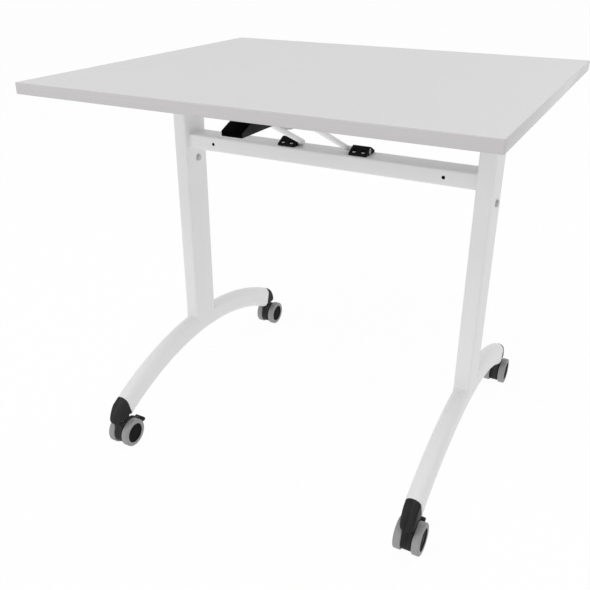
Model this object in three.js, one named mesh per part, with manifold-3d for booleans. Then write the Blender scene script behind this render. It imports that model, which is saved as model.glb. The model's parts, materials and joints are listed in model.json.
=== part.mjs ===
// Flip top training table: a melamine top that tips up on two arched T legs with castors.
// Millimetres. +X runs along the crossbeam, +Y to the rear, +Z up, and the origin is on the
// floor under the middle of the top.
import * as THREE from 'three';
import { mergeVertices } from 'three/addons/utils/BufferGeometryUtils.js';
import Module from 'manifold-3d';

const wasm = await Module();
wasm.setup();

// Running gap between neighbouring pieces
const GAP = 0.3;

// Top board and its edge band
const TOP_LENGTH = 800;
const TOP_DEPTH = 700;
const TOP_HEIGHT = 740;
const TOP_THICKNESS = 19;
const BAND = 2;
const UNDERSIDE = TOP_HEIGHT - TOP_THICKNESS;

// Legs: an upright of rectangular tube standing on an arched foot of flat oval tube
const LEG_X = 311;
const TUBE_WALL = 2;
const UPRIGHT_WIDTH = 30;
const UPRIGHT_DEPTH = 70;
const UPRIGHT_CORNER = 5;
const UPRIGHT_TOP = 672;
const FOOT_WIDTH = 30;
const FOOT_HEIGHT = 50;
const FOOT_ROUND = 14.5;
const FOOT_RADIUS = 610;
const FOOT_CREST = 156;
const FOOT_REACH = 300;
const FOOT_ANGLE = Math.asin(FOOT_REACH / FOOT_RADIUS);
const FOOT_STEPS = 14;
// Slanted end of each foot: how far out it is at a height, and its lean from upright
const END_Y = 282;
const END_Z = 91.6;
const END_LEAN = Math.tan(THREE.MathUtils.degToRad(15));

// Cross bolt through each upright
const BOLT_Y = 4;
const BOLT_Z = 541;
const BOLT_DIAMETER = 8;
const BOLT_HEAD_DIAMETER = 13;
const BOLT_HEAD_HEIGHT = 4;
const BOLT_RIM = 1.2;
const BOLT_CROWN = 4;

// Crossbeam of rectangular tube, with two accessory holes in its front face
const BEAM_DEPTH = 50;
const BEAM_HEIGHT = 30;
const BEAM_CORNER = 4;
const BEAM_Z = 582;
const BEAM_TOP = BEAM_Z + BEAM_HEIGHT / 2;
const BEAM_HALF = LEG_X - UPRIGHT_WIDTH / 2 - GAP;
const BEAM_HOLE_X = 237;
const BEAM_HOLE_DIAMETER = 7;

// Hinge of the top on the uprights' heads
const HINGE_Y = 10;
const HINGE_Z = 690;
const PIN_DIAMETER = 10;
const PIN_SIDES = 12;
const PIN_CLEARANCE = 0.7;
const PIN_HEAD_DIAMETER = 16;
const PIN_HEAD_HEIGHT = 3;
const PIN_CHAMFER = 1;
const HEAD_WIDTH = 26;
const HEAD_ROUND = 25;
const HEAD_PLUG = 30;
const HEAD_CHAMFER = 4;
const HEAD_SEAT = 6;
const PLATE_THICKNESS = 3;
const PLATE_WIDTH = 64;
const PLATE_FRONT = -60;
const PLATE_REAR = 56;
const PLATE_CORNER = 8;
const EAR_THICKNESS = 3;
const EAR_ROUND = 12;
const EAR_ROOT = 24;
const EAR_OFFSET = UPRIGHT_WIDTH / 2 + 2;
const OVERLAP = 1;

// Bent tube stay, journalled in two pillow blocks on the beam
const PIVOT_Y = 0;
const PIVOT_Z = BEAM_TOP + 6.5;
const STAY_DIAMETER = 10;
const STAY_BORE = 7;
const STAY_BEND = 9;
const STAY_SIDES = 10;
const STAY_BORE_SIDES = 6;
const STAY_X = 45.5;
const STAY_END_X = 92;
const STAY_LENGTH = 230;
const STAY_RISE = THREE.MathUtils.degToRad(25.7);
const BEND_STEPS = 4;
const BLOCK_X = 73.5;
const BLOCK_WIDTH = 35;
const BLOCK_DEPTH = 42;
const BLOCK_RIM = 4;
const BLOCK_ROUND = 8;
const BLOCK_BORE = 10.8;
const POCKET_DIAMETER = 10;
const POCKET_X = 8.75;
const POCKET_Y = 13.5;
const POCKET_SINK = 1;

// Flip travel, and the stay's turn for each degree of it: the crossbar ends as far below the
// top's underside as it starts
const FLIP = Math.PI / 2;
const CROSSBAR_Z = PIVOT_Z + STAY_LENGTH * Math.sin(STAY_RISE);
const STAY_STOP = Math.acos((PIVOT_Y - HINGE_Y - CROSSBAR_Z + HINGE_Z) / STAY_LENGTH);
const STAY_RATIO = (STAY_STOP - STAY_RISE) / FLIP;
const SLOT_STEPS = 9;
const SLOT_DIAMETER = STAY_DIAMETER + 1.6;

// Latch bracket under the top, with the release lever hinged between its cheeks
const CHEEK_THICKNESS = 2.5;
const CHEEK_INSIDE = 21;
const CHEEK_WALL = 6;
const CHEEK_NOSE = 8;
const CHEEK_THROAT = 691;
const BRACKET_FRONT = -240;
const BRACKET_REAR = -118;
const LEVER_WIDTH = 37;
const LEVER_TIP = -321;
const LEVER_BASE = 689;
const LEVER_LIP = 7;
const LEVER_SHOULDER = -294;
const LEVER_CROWN = 706;
const LEVER_WALL = 3;
const LEVER_EDGE = 2;
const LEVER_PIN_Y = -228;
const LEVER_PIN_Z = 702;
const LEVER_PIN_DIAMETER = 6;
const LEVER_PIN_END = 2;
const LEVER_BOSS = 6;
const TONGUE_WIDTH = 16;
const TONGUE_END = -192;
const TONGUE_TOP = 689.5;
const TONGUE_DEPTH = 8;
const TONGUE_TOOTH = 6;
const TONGUE_STEP = 3;

// Toe caps: a half-round nose that leans back as it rises. Each pair is how far out the nose is and
// at what height.
const CAP_NOSE = [
  [320, 65], [321.8, 69], [321.3, 75], [319.5, 81], [316.4, 87.5],
  [312.5, 94], [306.8, 100.5], [299.3, 106.6], [289, 112], [270, 120],
];
const CAP_HALF = 13.5;
const CAP_TAIL = 60;
const CAP_BASE = CAP_NOSE[0][1];
// A cap's underside is rounded up into its sides and nose
const CAP_KEEL = 6;
const CAP_KEEL_Y = Math.max(...CAP_NOSE.map(([out]) => out)) - CAP_HALF;
const CAP_KEEL_TOP = 130;
const CAP_KEEL_SIDES = 12;
// Step in a cap's underside, where it rises from the stem's boss to the foot's underside
const CAP_STEP_Z = 72.5;
const CAP_STEP_TOP = 283;
const CAP_STEP_FOOT = 287.5;
const HOOD_FROM = Math.asin(250 / FOOT_RADIUS);
const HOOD_TO = Math.asin(340 / FOOT_RADIUS);
const HOOD_STEPS = 4;
const SPIGOT_WIDTH = 24;
const SPIGOT_HEIGHT = 38;
const SPIGOT_ROUND = 11;
const SPIGOT_FROM = Math.asin(258 / FOOT_RADIUS);
const SPIGOT_TO = Math.asin(288 / FOOT_RADIUS);

// Castors: swivel stems under the toe caps, twin wheels trailing to the rear
const STEM_Y = 299;
const STEM_DIAMETER = 8;
const STEM_HOLE = 9.2;
const STEM_TOP = 94;
const STEM_BOTTOM = 40;
const STEM_SIDES = 10;
const FLANGE_DIAMETER = 16;
const FLANGE_HEIGHT = 3.4;
const TRAIL = 15;
const WHEEL_DIAMETER = 58;
const WHEEL_SIDES = 24;
const WHEEL_WIDTH = 13.6;
const WHEEL_OFFSET = 16.6;
const SHOULDER = 3;
const AXLE_Z = (WHEEL_DIAMETER / 2) * Math.cos(Math.PI / WHEEL_SIDES);
const AXLE_DIAMETER = 6;
const AXLE_LENGTH = 40;
const AXLE_HOLE = 6.8;
const HUB_DIAMETER = 41;
const HUB_SIDES = 18;
const HUB_INSET = 0.6;
const HUB_RIM = 3;
const HUB_DISH = 1.8;
const HUB_BOSS = 7;
const BODY_RADIUS = 26;
const BODY_WIDTH = 18.4;
const BODY_NECK = 9;
const BODY_FROM = 0.82 * Math.PI;
const BODY_TO = 2.36 * Math.PI;
const BODY_TOP = CAP_BASE - FLANGE_HEIGHT - 2 * GAP;
const COLLAR_DIAMETER = 22;
const COLLAR_BASE = 56;

// Brake pedal on each front castor. Each pair of its side views is how far behind the axle a corner is
// and at what height.
const PEDAL_PIVOT_Y = 9;
const PEDAL_PIVOT_Z = 46.5;
const PEDAL_BARREL = 4;
const PEDAL_STUB = 3.2;
const PEDAL_STUB_HOLE = 4;
const PEDAL_ARM_VIEW = [[9, 42.5], [22, 42], [36, 32], [40, 31], [39, 37], [24, 48], [9, 50.5]];
const PEDAL_ARM_WIDTH = 11.6;
const PEDAL_NOTCH = 12.6;
const NOTCH_FALL = 16;
const PAD_VIEW = [[36, 31], [39, 26], [43, 25], [46.5, 27.5], [46.5, 33], [44, 36.5], [37.5, 37.5]];
const PAD_WIDTH = 23.5;
const PAD_HEIGHT = 12.5;
const PAD_ROUND = 5.5;
const PAD_Z = 31.25;

// Finishes
function finish(color, roughness, metalness = 0) {
  return new THREE.MeshStandardMaterial({ color, roughness, metalness });
}
const melamine = finish(0xd9d7d7, 0.5);
const edging = finish(0xc9c7c8, 0.5);
const coating = finish(0xe6e6e6, 0.4);
const steel = finish(0xa8aaac, 0.35, 1);
const plastic = finish(0x232323, 0.35);
const rubber = finish(0x8f8f8f, 0.7);

// Solids
function toSolid(geometry) {
  const bare = geometry.clone();
  bare.deleteAttribute('normal');
  bare.deleteAttribute('uv');
  const merged = mergeVertices(bare, 1e-4);
  const corners = merged.index.array;
  const kept = [];
  for (let i = 0; i < corners.length; i += 3) {
    const [a, b, c] = corners.slice(i, i + 3);
    if (a !== b && b !== c && c !== a) kept.push(a, b, c);
  }
  const vertProperties = merged.attributes.position.array;
  const triVerts = new Uint32Array(kept);
  return new wasm.Manifold(new wasm.Mesh({ numProp: 3, vertProperties, triVerts }));
}

function toGeometry(solid) {
  const mesh = solid.getMesh();
  const geometry = new THREE.BufferGeometry();
  geometry.setAttribute('position', new THREE.BufferAttribute(new Float32Array(mesh.vertProperties), 3));
  geometry.setIndex(new THREE.BufferAttribute(new Uint32Array(mesh.triVerts), 1));
  return geometry;
}

function cut(body, ...tools) {
  return toGeometry(tools.reduce((solid, tool) => solid.subtract(toSolid(tool)), toSolid(body)));
}

function join(body, ...others) {
  return toGeometry(others.reduce((solid, other) => solid.add(toSolid(other)), toSolid(body)));
}

function common(body, ...others) {
  return toGeometry(others.reduce((solid, other) => solid.intersect(toSolid(other)), toSolid(body)));
}

// Shapes and sweeps. A side view has its shape's x along Y and its y along Z.
const SIDE_VIEW = new THREE.Matrix4().set(0, 0, 1, 0, 1, 0, 0, 0, 0, 1, 0, 0, 0, 0, 0, 1);

function roundedRect(width, height, radius, Outline = THREE.Shape) {
  const w = width / 2 - radius;
  const h = height / 2 - radius;
  const outline = new Outline();
  outline.absarc(w, -h, radius, -Math.PI / 2, 0);
  outline.absarc(w, h, radius, 0, Math.PI / 2);
  outline.absarc(-w, h, radius, Math.PI / 2, Math.PI);
  outline.absarc(-w, -h, radius, Math.PI, 1.5 * Math.PI);
  outline.closePath();
  return outline;
}

// Insides of tubes, and what plugs them, have plainer corners than the outsides
function plainRect(width, height, radius, Outline = THREE.Shape) {
  return new Outline(roundedRect(width, height, radius).getPoints(1));
}

function tubeSection(width, height, radius) {
  const section = roundedRect(width, height, radius);
  const inner = radius - TUBE_WALL;
  section.holes.push(plainRect(width - 2 * TUBE_WALL, height - 2 * TUBE_WALL, inner, THREE.Path));
  return section;
}

function circle(x, y, diameter, Outline = THREE.Shape) {
  return new Outline().absarc(x, y, diameter / 2, 0, 2 * Math.PI);
}

function polygon(points) {
  return new THREE.Shape(points.map(([x, y]) => new THREE.Vector2(x, y)));
}

function prismZ(shape, from, to, curveSegments = 2) {
  const settings = { depth: to - from, bevelEnabled: false, curveSegments };
  return new THREE.ExtrudeGeometry(shape, settings).translate(0, 0, from);
}

function prismX(shape, from, to, curveSegments = 2) {
  return prismZ(shape, from, to, curveSegments).applyMatrix4(SIDE_VIEW);
}

function rodX(y, z, diameter, from, to, curveSegments = 8) {
  return prismX(circle(y, z, diameter), from, to, curveSegments);
}

function rodZ(x, y, diameter, from, to, curveSegments = 8) {
  return prismZ(circle(x, y, diameter), from, to, curveSegments);
}

function sweep(section, extrudePath, steps, curveSegments = 2) {
  return new THREE.ExtrudeGeometry(section, { steps, extrudePath, curveSegments, bevelEnabled: false });
}

// Revolves a profile of [radius, place along the axis] points, about Y or, with a flat at the bottom, about X
function turned(profile, sides) {
  const points = profile.map(([radius, along]) => new THREE.Vector2(radius, along));
  return new THREE.LatheGeometry(points, sides, Math.PI / sides);
}

function turnedX(profile, sides) {
  return turned(profile, sides).rotateZ(-Math.PI / 2);
}

// Stretch of a foot's centre line, between two angles from its crest
class FootArc extends THREE.Curve {
  constructor(x, from, to) {
    super();
    Object.assign(this, { x, from, to });
  }

  getPoint(t, target = new THREE.Vector3()) {
    const angle = THREE.MathUtils.lerp(this.from, this.to, t);
    const z = FOOT_CREST + FOOT_RADIUS * (Math.cos(angle) - 1);
    return target.set(this.x, FOOT_RADIUS * Math.sin(angle), z);
  }
}

// Route that is given by its stations, so that only bends are divided
class Route extends THREE.Curve {
  constructor(stations) {
    super();
    this.stations = stations;
  }

  station(u) {
    return this.stations[Math.round(u * (this.stations.length - 1))];
  }

  getPointAt(u, target = new THREE.Vector3()) {
    return target.copy(this.station(u).point);
  }

  getTangentAt(u, target = new THREE.Vector3()) {
    return target.copy(this.station(u).tangent);
  }
}

// Stations of a right-angled bend at a corner, from one direction into another
function bend(corner, into, out) {
  const centre = corner.clone().addScaledVector(into, -STAY_BEND).addScaledVector(out, STAY_BEND);
  return Array.from({ length: BEND_STEPS + 1 }, (_, i) => {
    const angle = (i / BEND_STEPS) * (Math.PI / 2);
    const point = centre.clone();
    point.addScaledVector(out, -STAY_BEND * Math.cos(angle));
    point.addScaledVector(into, STAY_BEND * Math.sin(angle));
    const tangent = into.clone().multiplyScalar(Math.cos(angle)).addScaledVector(out, Math.sin(angle));
    return { point, tangent };
  });
}

const table = new THREE.Group();

function add(name, geometry, material) {
  const mesh = new THREE.Mesh(geometry, material);
  mesh.name = name;
  table.add(mesh);
}

// Top
function topBoard() {
  const inset = 2 * (BAND + GAP);
  const outline = roundedRect(TOP_LENGTH - inset, TOP_DEPTH - inset, 1);
  return prismZ(outline, UNDERSIDE, TOP_HEIGHT, 1);
}

function edgeBand() {
  const outline = roundedRect(TOP_LENGTH, TOP_DEPTH, 3);
  outline.holes.push(roundedRect(TOP_LENGTH - 2 * BAND, TOP_DEPTH - 2 * BAND, 1, THREE.Path));
  return prismZ(outline, UNDERSIDE, TOP_HEIGHT, 2);
}

// Legs
// What lies beyond a foot's slanted end (way 1), or short of it (way -1), less a gap
function pastEnd(x, side, way, gap = 0) {
  const ceiling = FOOT_CREST + FOOT_HEIGHT;
  const end = (z) => side * (END_Y + (z - END_Z) * END_LEAN + gap);
  const far = side * (END_Y + way * FOOT_REACH);
  const view = polygon([[end(0), 0], [end(ceiling), ceiling], [far, ceiling], [far, 0]]);
  return prismX(view, x - FOOT_WIDTH, x + FOOT_WIDTH);
}

function foot(x) {
  const section = tubeSection(FOOT_WIDTH, FOOT_HEIGHT, FOOT_ROUND);
  const arch = sweep(section, new FootArc(x, -FOOT_ANGLE, FOOT_ANGLE), FOOT_STEPS);
  return cut(arch, pastEnd(x, -1, 1), pastEnd(x, 1, 1));
}

function upright(x) {
  const section = tubeSection(UPRIGHT_WIDTH, UPRIGHT_DEPTH, UPRIGHT_CORNER);
  const tube = prismZ(section, FOOT_CREST, UPRIGHT_TOP).translate(x, 0, 0);
  const saddle = roundedRect(FOOT_WIDTH + 2 * GAP, FOOT_HEIGHT + 2 * GAP, FOOT_ROUND);
  const saddleArc = new FootArc(x, -FOOT_ANGLE / 2, FOOT_ANGLE / 2);
  const bolt = rodX(BOLT_Y, BOLT_Z, BOLT_DIAMETER + 2 * GAP, x - UPRIGHT_WIDTH, x + UPRIGHT_WIDTH, 4);
  return cut(tube, sweep(saddle, saddleArc, FOOT_STEPS / 2), bolt);
}

function crossBolt(x) {
  const seat = UPRIGHT_WIDTH / 2 + GAP;
  const face = seat + BOLT_HEAD_HEIGHT;
  const shank = BOLT_DIAMETER / 2;
  const rim = BOLT_HEAD_DIAMETER / 2;
  const half = [[shank, seat], [rim, seat], [rim, seat + BOLT_RIM], [BOLT_CROWN, face], [0, face]];
  const mirrored = half.map(([radius, along]) => [radius, -along]).reverse();
  return turnedX([...mirrored, ...half], PIN_SIDES).translate(x, BOLT_Y, BOLT_Z);
}

function crossbeam() {
  const section = tubeSection(BEAM_DEPTH, BEAM_HEIGHT, BEAM_CORNER);
  const tube = prismX(section, -BEAM_HALF, BEAM_HALF).translate(0, 0, BEAM_Z);
  const holes = [-1, 1].map((side) => {
    const hole = rodZ(0, 0, BEAM_HOLE_DIAMETER, 0, BEAM_DEPTH / 2, 4).rotateX(Math.PI / 2);
    return hole.translate(side * BEAM_HOLE_X, -BEAM_DEPTH / 4, BEAM_Z);
  });
  return cut(tube, ...holes);
}

// Hinge of the top
function pivotHead(x) {
  const front = -UPRIGHT_DEPTH / 2;
  const base = UPRIGHT_TOP + GAP;
  const pad = UNDERSIDE - PLATE_THICKNESS - 2 * GAP;
  const shape = new THREE.Shape();
  shape.moveTo(front, base);
  shape.lineTo(HINGE_Y + HEAD_ROUND, base);
  shape.absarc(HINGE_Y, HINGE_Z, HEAD_ROUND, 0, Math.PI / 2);
  shape.lineTo(HINGE_Y - HEAD_SEAT, pad);
  shape.lineTo(front + HEAD_CHAMFER, pad);
  shape.lineTo(front, pad - HEAD_CHAMFER);
  shape.holes.push(circle(HINGE_Y, HINGE_Z, PIN_DIAMETER + 2 * GAP, THREE.Path));
  const head = prismX(shape, x - HEAD_WIDTH / 2, x + HEAD_WIDTH / 2, 5);
  const fit = 2 * (TUBE_WALL + GAP);
  const plug = plainRect(UPRIGHT_WIDTH - fit, UPRIGHT_DEPTH - fit, UPRIGHT_CORNER - TUBE_WALL);
  return join(head, prismZ(plug, UPRIGHT_TOP - HEAD_PLUG, base + OVERLAP).translate(x, 0, 0));
}

function hingePin(x) {
  const grip = EAR_OFFSET + EAR_THICKNESS + GAP;
  const shank = PIN_DIAMETER / 2;
  const rim = PIN_HEAD_DIAMETER / 2;
  const end = grip + PIN_HEAD_HEIGHT;
  const head = [[rim, grip], [rim, end - PIN_CHAMFER], [rim - PIN_CHAMFER, end], [0, end]];
  const profile = [[0, -end], [shank, -end], [shank, grip], ...head];
  return turnedX(profile, PIN_SIDES).translate(x, HINGE_Y, HINGE_Z);
}

function hingeBracket(x) {
  const top = UNDERSIDE - GAP;
  const middle = (PLATE_FRONT + PLATE_REAR) / 2;
  const plate = roundedRect(PLATE_WIDTH, PLATE_REAR - PLATE_FRONT, PLATE_CORNER);
  const base = prismZ(plate, top - PLATE_THICKNESS, top).translate(x, middle, 0);
  const ear = new THREE.Shape();
  ear.moveTo(HINGE_Y + EAR_ROOT, top - OVERLAP);
  ear.lineTo(HINGE_Y - EAR_ROOT, top - OVERLAP);
  ear.absarc(HINGE_Y, HINGE_Z, EAR_ROUND, Math.PI, 2 * Math.PI);
  ear.holes.push(circle(HINGE_Y, HINGE_Z, PIN_DIAMETER + 2 * PIN_CLEARANCE, THREE.Path));
  const ears = [EAR_OFFSET, -EAR_OFFSET - EAR_THICKNESS].map((side) => {
    return prismX(ear, x + side, x + side + EAR_THICKNESS, 4);
  });
  return join(base, ...ears);
}

// Stay and its pillow blocks
function stay() {
  const right = new THREE.Vector3(1, 0, 0);
  const up = new THREE.Vector3(0, -Math.cos(STAY_RISE), Math.sin(STAY_RISE));
  const down = up.clone().negate();
  const pivot = new THREE.Vector3(0, PIVOT_Y, PIVOT_Z);
  const crossbar = pivot.clone().addScaledVector(up, STAY_LENGTH);
  const at = (origin, x) => origin.clone().setX(x);
  const stations = [
    { point: at(pivot, -STAY_END_X), tangent: right },
    ...bend(at(pivot, -STAY_X), right, up),
    ...bend(at(crossbar, -STAY_X), up, right),
    ...bend(at(crossbar, STAY_X), right, down),
    ...bend(at(pivot, STAY_X), down, right),
    { point: at(pivot, STAY_END_X), tangent: right },
  ];
  const section = circle(0, 0, STAY_DIAMETER);
  section.holes.push(new THREE.Path(circle(0, 0, STAY_BORE).getPoints(STAY_BORE_SIDES / 2)));
  return sweep(section, new Route(stations), stations.length - 1, STAY_SIDES / 2);
}

function pillowBlock(x) {
  const base = BEAM_TOP + GAP;
  const rim = base + BLOCK_RIM;
  const half = BLOCK_DEPTH / 2;
  const lean = Math.atan2(half - BLOCK_ROUND, PIVOT_Z + BLOCK_ROUND - rim) / 2;
  const shape = new THREE.Shape();
  shape.moveTo(PIVOT_Y - half, base);
  shape.lineTo(PIVOT_Y + half, base);
  shape.lineTo(PIVOT_Y + half, rim);
  shape.absarc(PIVOT_Y, PIVOT_Z, BLOCK_ROUND, Math.PI / 2 - lean, Math.PI / 2 + lean);
  shape.lineTo(PIVOT_Y - half, rim);
  shape.holes.push(circle(PIVOT_Y, PIVOT_Z, BLOCK_BORE, THREE.Path));
  const block = prismX(shape, x - BLOCK_WIDTH / 2, x + BLOCK_WIDTH / 2, 5);
  const pockets = [];
  for (const along of [x - POCKET_X, x + POCKET_X]) {
    for (const across of [PIVOT_Y - POCKET_Y, PIVOT_Y + POCKET_Y]) {
      pockets.push(rodZ(along, across, POCKET_DIAMETER, rim - POCKET_SINK, PIVOT_Z + 2 * BLOCK_ROUND, 4));
    }
  }
  return cut(block, ...pockets);
}

// Place of the stay's crossbar, seen from the top, after the top has flipped by an angle
function crossbarAt(flip) {
  const rise = STAY_RISE + STAY_RATIO * flip;
  const y = PIVOT_Y - STAY_LENGTH * Math.cos(rise) - HINGE_Y;
  const z = PIVOT_Z + STAY_LENGTH * Math.sin(rise) - HINGE_Z;
  const turned = new THREE.Vector2(y, z).rotateAround(new THREE.Vector2(), flip);
  return turned.add(new THREE.Vector2(HINGE_Y, HINGE_Z));
}

// Curved slot that the crossbar runs in as the top flips
function crossbarSlot() {
  const radius = SLOT_DIAMETER / 2;
  const track = Array.from({ length: SLOT_STEPS + 1 }, (_, i) => crossbarAt((FLIP * i) / SLOT_STEPS));
  const headings = track.map((_, i) => {
    const ahead = track[Math.min(i + 1, SLOT_STEPS)];
    const behind = track[Math.max(i - 1, 0)];
    return ahead.clone().sub(behind).angle();
  });
  const beside = (i, side) => {
    const heading = headings[i] + (side * Math.PI) / 2;
    const outward = new THREE.Vector2(Math.cos(heading), Math.sin(heading));
    return track[i].clone().addScaledVector(outward, radius);
  };
  const slot = new THREE.Path();
  const start = headings[0];
  const end = headings[SLOT_STEPS];
  slot.absarc(track[0].x, track[0].y, radius, start + Math.PI / 2, start + 1.5 * Math.PI);
  track.slice(1, -1).forEach((_, i) => slot.lineTo(...beside(i + 1, -1)));
  slot.absarc(track[SLOT_STEPS].x, track[SLOT_STEPS].y, radius, end - Math.PI / 2, end + Math.PI / 2);
  track.slice(1, -1).forEach((_, i) => slot.lineTo(...beside(SLOT_STEPS - 1 - i, 1)));
  return slot;
}

function latchBracket() {
  const top = UNDERSIDE - GAP;
  const rest = crossbarAt(0);
  const low = crossbarAt(FLIP / 2);
  const stop = crossbarAt(FLIP);
  const reach = SLOT_DIAMETER / 2 + CHEEK_WALL;
  const cheek = new THREE.Shape();
  const nose = LEVER_PIN_Z - CHEEK_NOSE;
  cheek.moveTo(BRACKET_REAR, top - OVERLAP);
  cheek.lineTo(BRACKET_FRONT, top - OVERLAP);
  cheek.lineTo(BRACKET_FRONT, LEVER_PIN_Z);
  cheek.quadraticCurveTo(BRACKET_FRONT, nose, LEVER_PIN_Y, nose);
  cheek.lineTo(rest.x - reach, CHEEK_THROAT);
  cheek.quadraticCurveTo(rest.x, low.y - reach, low.x, low.y - reach);
  cheek.quadraticCurveTo(BRACKET_REAR, low.y - reach, BRACKET_REAR, stop.y - reach / 2);
  cheek.holes.push(crossbarSlot());
  cheek.holes.push(circle(LEVER_PIN_Y, LEVER_PIN_Z, LEVER_PIN_DIAMETER + 2 * GAP, THREE.Path));
  const cheeks = [CHEEK_INSIDE, -CHEEK_INSIDE - CHEEK_THICKNESS].map((side) => {
    return prismX(cheek, side, side + CHEEK_THICKNESS, 4);
  });
  const width = 2 * (CHEEK_INSIDE + CHEEK_THICKNESS);
  const web = polygon([
    [-width / 2, BRACKET_FRONT], [width / 2, BRACKET_FRONT],
    [width / 2, BRACKET_REAR], [-width / 2, BRACKET_REAR],
  ]);
  return join(prismZ(web, top - CHEEK_THICKNESS, top), ...cheeks);
}

// Release lever: a hollow wedge to squeeze from below, and a tongue that reaches under the crossbar
function releaseLever() {
  const half = LEVER_WIDTH / 2;
  const lip = LEVER_BASE + LEVER_LIP;
  const shape = new THREE.Shape();
  shape.moveTo(LEVER_TIP + LEVER_EDGE, LEVER_BASE);
  shape.lineTo(LEVER_PIN_Y + LEVER_BOSS, LEVER_BASE);
  shape.absarc(LEVER_PIN_Y, LEVER_PIN_Z, LEVER_BOSS, 0, Math.PI / 2);
  shape.lineTo(LEVER_SHOULDER, LEVER_CROWN);
  shape.lineTo(LEVER_TIP + LEVER_EDGE, lip);
  shape.quadraticCurveTo(LEVER_TIP, lip - LEVER_EDGE / 2, LEVER_TIP, lip - LEVER_EDGE);
  shape.lineTo(LEVER_TIP, LEVER_BASE + LEVER_EDGE);
  shape.quadraticCurveTo(LEVER_TIP, LEVER_BASE, LEVER_TIP + LEVER_EDGE, LEVER_BASE);
  const body = prismX(shape, -half, half, 3);
  const heel = LEVER_PIN_Y - LEVER_BOSS - LEVER_WALL;
  const roof = LEVER_CROWN - LEVER_WALL;
  const floor = LEVER_BASE - OVERLAP;
  const hollow = polygon([[LEVER_SHOULDER, floor], [heel, floor], [heel, roof], [LEVER_SHOULDER, roof]]);
  const tooth = TONGUE_END - TONGUE_TOOTH;
  const tongue = polygon([
    [LEVER_PIN_Y - LEVER_BOSS, LEVER_BASE + LEVER_WALL], [TONGUE_END, TONGUE_TOP - TONGUE_DEPTH],
    [TONGUE_END, TONGUE_TOP], [tooth, TONGUE_TOP], [tooth - TONGUE_STEP, TONGUE_TOP - TONGUE_STEP],
    [LEVER_PIN_Y + LEVER_BOSS - OVERLAP, LEVER_PIN_Z],
  ]);
  const shell = cut(body, prismX(hollow, LEVER_WALL - half, half - LEVER_WALL));
  const whole = join(shell, prismX(tongue, -TONGUE_WIDTH / 2, TONGUE_WIDTH / 2));
  const bore = LEVER_PIN_DIAMETER + 2 * PIN_CLEARANCE;
  return cut(whole, rodX(LEVER_PIN_Y, LEVER_PIN_Z, bore, -LEVER_WIDTH, LEVER_WIDTH, 4));
}

function leverPin() {
  const end = CHEEK_INSIDE + CHEEK_THICKNESS + LEVER_PIN_END;
  const radius = LEVER_PIN_DIAMETER / 2;
  const half = [[radius, end - PIN_CHAMFER], [radius - PIN_CHAMFER, end], [0, end]];
  const mirrored = half.map(([r, along]) => [r, -along]).reverse();
  return turnedX([...mirrored, ...half], PIN_SIDES).translate(0, LEVER_PIN_Y, LEVER_PIN_Z);
}

// A boat's hull on its keel: what is left of a cap when its underside is rounded
function capKeel(side) {
  const half = new THREE.Path();
  half.moveTo(0, CAP_BASE);
  half.lineTo(CAP_HALF - CAP_KEEL, CAP_BASE);
  half.absarc(CAP_HALF - CAP_KEEL, CAP_BASE + CAP_KEEL, CAP_KEEL, -Math.PI / 2, 0);
  half.lineTo(CAP_HALF + CAP_KEEL, CAP_KEEL_TOP);
  half.lineTo(0, CAP_KEEL_TOP);
  const right = half.getPoints(2).map((point) => point.toArray());
  const left = right.slice(1, -1).map(([across, z]) => [-across, z]);
  const bow = turned(right, CAP_KEEL_SIDES).translate(0, 0, -side * CAP_KEEL_Y);
  const length = side > 0 ? [-CAP_KEEL_Y, -CAP_TAIL] : [CAP_TAIL, CAP_KEEL_Y];
  return join(bow, prismZ(polygon([...right, ...left.reverse()]), ...length)).rotateX(Math.PI / 2);
}

// Toe cap: the foot's oval carried on over the end, under a nose that leans back as it rises
function toeCap(x, side) {
  const arc = (from, to) => new FootArc(x, ...(side < 0 ? [-to, -from] : [from, to]));
  const half = FOOT_WIDTH / 2;
  const corner = half - FOOT_ROUND;
  const shoulder = FOOT_HEIGHT / 2 - FOOT_ROUND;
  const arch = new THREE.Shape();
  arch.moveTo(-half, -FOOT_HEIGHT);
  arch.lineTo(half, -FOOT_HEIGHT);
  arch.absarc(corner, shoulder, FOOT_ROUND, 0, Math.PI / 2);
  arch.absarc(-corner, shoulder, FOOT_ROUND, Math.PI / 2, Math.PI);
  const hood = sweep(arch, arc(HOOD_FROM, HOOD_TO), HOOD_STEPS);
  const plan = new THREE.Shape();
  plan.moveTo(side * CAP_TAIL, -CAP_HALF);
  plan.lineTo(0, -CAP_HALF);
  plan.absarc(0, 0, CAP_HALF, -Math.PI / 2, Math.PI / 2, side > 0);
  plan.lineTo(side * CAP_TAIL, CAP_HALF);
  const stations = CAP_NOSE.map(([out, z]) => {
    return { point: new THREE.Vector3(x, side * (out - CAP_HALF), z), tangent: new THREE.Vector3(0, 0, 1) };
  });
  const nose = sweep(plan, new Route(stations), stations.length - 1, 4);
  const base = capKeel(side).translate(x, 0, 0);
  const step = polygon([
    [side * CAP_TAIL, 0], [side * CAP_STEP_FOOT, 0], [side * CAP_STEP_FOOT, CAP_BASE],
    [side * CAP_STEP_TOP, CAP_STEP_Z], [side * CAP_TAIL, CAP_STEP_Z],
  ]);
  const rise = prismX(step, x - FOOT_WIDTH, x + FOOT_WIDTH);
  const body = cut(common(hood, nose, base), pastEnd(x, side, -1, GAP), rise);
  const section = plainRect(SPIGOT_WIDTH, SPIGOT_HEIGHT, SPIGOT_ROUND);
  const spigot = sweep(section, arc(SPIGOT_FROM, SPIGOT_TO), 2);
  const socket = rodZ(x, side * STEM_Y, STEM_HOLE, 0, STEM_TOP + OVERLAP, 5);
  return cut(join(body, spigot), socket);
}

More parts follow.
